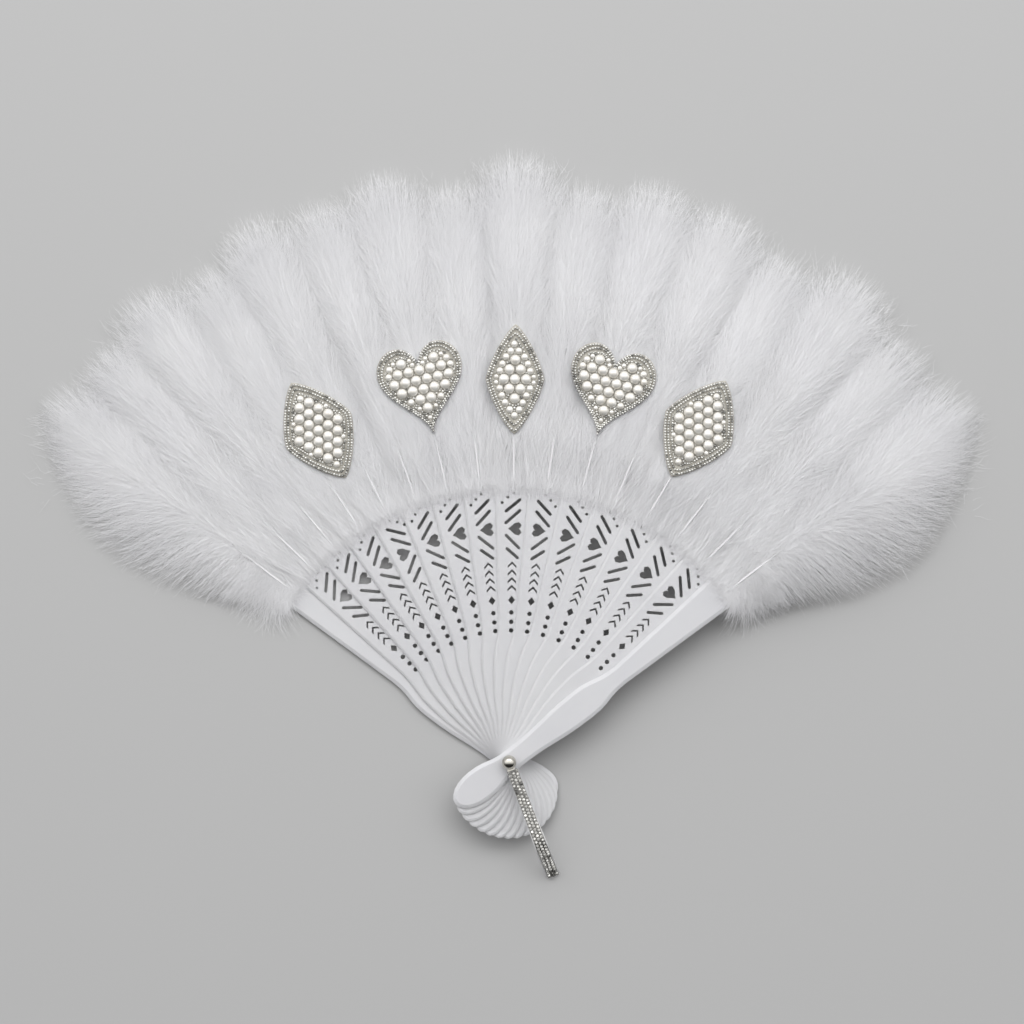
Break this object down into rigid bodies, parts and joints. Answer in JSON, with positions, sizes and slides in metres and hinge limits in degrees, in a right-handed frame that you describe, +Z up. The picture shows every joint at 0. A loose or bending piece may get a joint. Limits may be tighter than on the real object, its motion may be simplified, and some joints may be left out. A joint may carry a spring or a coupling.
{
  "type": "feather fan",
  "caption": "Folding hand fan of pierced white sticks on a ball rivet, each stick tipped with a plume of white down, with pearl ornaments and a rhinestone strap.",
  "frame": {"origin": "on the rivet's axis, on the flat underside of the rivet's tail, which rests on the table", "axes": "+Y from the rivet towards the feather tips, +X towards the front guard's side, +Z up from the table along the rivet"},
  "size_m": [0.4802, 0.3674, 0.0294],
  "materials": {
    "white_plastic": "satin",
    "down": "matte",
    "pearl": "gloss",
    "felt": "matte",
    "rhinestone": "polished",
    "steel": "polished",
    "backing": "gloss"
  },
  "bodies": {
    "rear_guard": {"rear_guard": "white_plastic", "plume_00": "down", "rivet_pin": "steel", "rivet_washer": "steel", "rivet_ball": "steel"},
    "stick_01": {"stick_01": "white_plastic", "plume_01": "down"},
    "stick_02": {"stick_02": "white_plastic", "plume_02": "down"},
    "stick_03": {"stick_03": "white_plastic", "plume_03": "down", "ornament_1_felt": "felt", "ornament_1_border": "rhinestone", "ornament_1_pearls": "pearl"},
    "stick_04": {"stick_04": "white_plastic", "plume_04": "down"},
    "stick_05": {"stick_05": "white_plastic", "plume_05": "down"},
    "stick_06": {"stick_06": "white_plastic", "plume_06": "down", "ornament_2_felt": "felt", "ornament_2_border": "rhinestone", "ornament_2_pearls": "pearl"},
    "stick_07": {"stick_07": "white_plastic", "plume_07": "down"},
    "stick_08": {"stick_08": "white_plastic", "plume_08": "down", "ornament_3_felt": "felt", "ornament_3_border": "rhinestone", "ornament_3_pearls": "pearl"},
    "stick_09": {"stick_09": "white_plastic", "plume_09": "down"},
    "stick_10": {"stick_10": "white_plastic", "plume_10": "down", "ornament_4_felt": "felt", "ornament_4_border": "rhinestone", "ornament_4_pearls": "pearl"},
    "stick_11": {"stick_11": "white_plastic", "plume_11": "down"},
    "stick_12": {"stick_12": "white_plastic", "plume_12": "down", "ornament_5_felt": "felt", "ornament_5_border": "rhinestone", "ornament_5_pearls": "pearl"},
    "stick_13": {"stick_13": "white_plastic", "plume_13": "down"},
    "stick_14": {"stick_14": "white_plastic", "plume_14": "down"},
    "front_guard": {"front_guard": "white_plastic", "plume_15": "down"},
    "strap": {"strap_eyelet": "steel", "strap_backing": "backing", "strap_stones": "rhinestone"}
  },
  "joints": [
    {"name": "fold", "type": "hinge", "parent": "rear_guard", "child": "front_guard", "pos_m": [0, 0, 0], "axis": [0, 0, 1], "range_deg": [0, 104], "deforming": ["plume_00", "plume_15"]},
    {"name": "turn_01", "type": "hinge", "parent": "rear_guard", "child": "stick_01", "pos_m": [0, 0, 0], "axis": [0, 0, 1], "range_deg": [0, 6.3], "deforming": ["plume_01"]},
    {"name": "turn_02", "type": "hinge", "parent": "rear_guard", "child": "stick_02", "pos_m": [0, 0, 0], "axis": [0, 0, 1], "range_deg": [0, 12.67], "deforming": ["plume_02"]},
    {"name": "turn_03", "type": "hinge", "parent": "rear_guard", "child": "stick_03", "pos_m": [0, 0, 0], "axis": [0, 0, 1], "range_deg": [0, 19.15], "deforming": ["plume_03"]},
    {"name": "turn_04", "type": "hinge", "parent": "rear_guard", "child": "stick_04", "pos_m": [0, 0, 0], "axis": [0, 0, 1], "range_deg": [0, 25.71], "deforming": ["plume_04"]},
    {"name": "turn_05", "type": "hinge", "parent": "rear_guard", "child": "stick_05", "pos_m": [0, 0, 0], "axis": [0, 0, 1], "range_deg": [0, 32.37], "deforming": ["plume_05"]},
    {"name": "turn_06", "type": "hinge", "parent": "rear_guard", "child": "stick_06", "pos_m": [0, 0, 0], "axis": [0, 0, 1], "range_deg": [0, 39.11], "deforming": ["plume_06"]},
    {"name": "turn_07", "type": "hinge", "parent": "rear_guard", "child": "stick_07", "pos_m": [0, 0, 0], "axis": [0, 0, 1], "range_deg": [0, 45.95], "deforming": ["plume_07"]},
    {"name": "turn_08", "type": "hinge", "parent": "rear_guard", "child": "stick_08", "pos_m": [0, 0, 0], "axis": [0, 0, 1], "range_deg": [0, 52.89], "deforming": ["plume_08"]},
    {"name": "turn_09", "type": "hinge", "parent": "rear_guard", "child": "stick_09", "pos_m": [0, 0, 0], "axis": [0, 0, 1], "range_deg": [0, 59.91], "deforming": ["plume_09"]},
    {"name": "turn_10", "type": "hinge", "parent": "rear_guard", "child": "stick_10", "pos_m": [0, 0, 0], "axis": [0, 0, 1], "range_deg": [0, 67.03], "deforming": ["plume_10"]},
    {"name": "turn_11", "type": "hinge", "parent": "rear_guard", "child": "stick_11", "pos_m": [0, 0, 0], "axis": [0, 0, 1], "range_deg": [0, 74.24], "deforming": ["plume_11"]},
    {"name": "turn_12", "type": "hinge", "parent": "rear_guard", "child": "stick_12", "pos_m": [0, 0, 0], "axis": [0, 0, 1], "range_deg": [0, 81.55], "deforming": ["plume_12"]},
    {"name": "turn_13", "type": "hinge", "parent": "rear_guard", "child": "stick_13", "pos_m": [0, 0, 0], "axis": [0, 0, 1], "range_deg": [0, 88.94], "deforming": ["plume_13"]},
    {"name": "turn_14", "type": "hinge", "parent": "rear_guard", "child": "stick_14", "pos_m": [0, 0, 0], "axis": [0, 0, 1], "range_deg": [0, 96.43], "deforming": ["plume_14"]},
    {"name": "strap_swing", "type": "hinge", "parent": "rear_guard", "child": "strap", "pos_m": [0, 0, 0], "axis": [0, 0, 1], "range_deg": [-30, 30]}
  ],
  "couplings": [
    {"joint": "turn_01", "follows": "fold", "ratio": 0.060444},
    {"joint": "turn_02", "follows": "fold", "ratio": 0.12178},
    {"joint": "turn_03", "follows": "fold", "ratio": 0.184},
    {"joint": "turn_04", "follows": "fold", "ratio": 0.24711},
    {"joint": "turn_05", "follows": "fold", "ratio": 0.31111},
    {"joint": "turn_06", "follows": "fold", "ratio": 0.376},
    {"joint": "turn_07", "follows": "fold", "ratio": 0.44178},
    {"joint": "turn_08", "follows": "fold", "ratio": 0.50844},
    {"joint": "turn_09", "follows": "fold", "ratio": 0.576},
    {"joint": "turn_10", "follows": "fold", "ratio": 0.64444},
    {"joint": "turn_11", "follows": "fold", "ratio": 0.71378},
    {"joint": "turn_12", "follows": "fold", "ratio": 0.784},
    {"joint": "turn_13", "follows": "fold", "ratio": 0.85511},
    {"joint": "turn_14", "follows": "fold", "ratio": 0.92711}
  ]
}
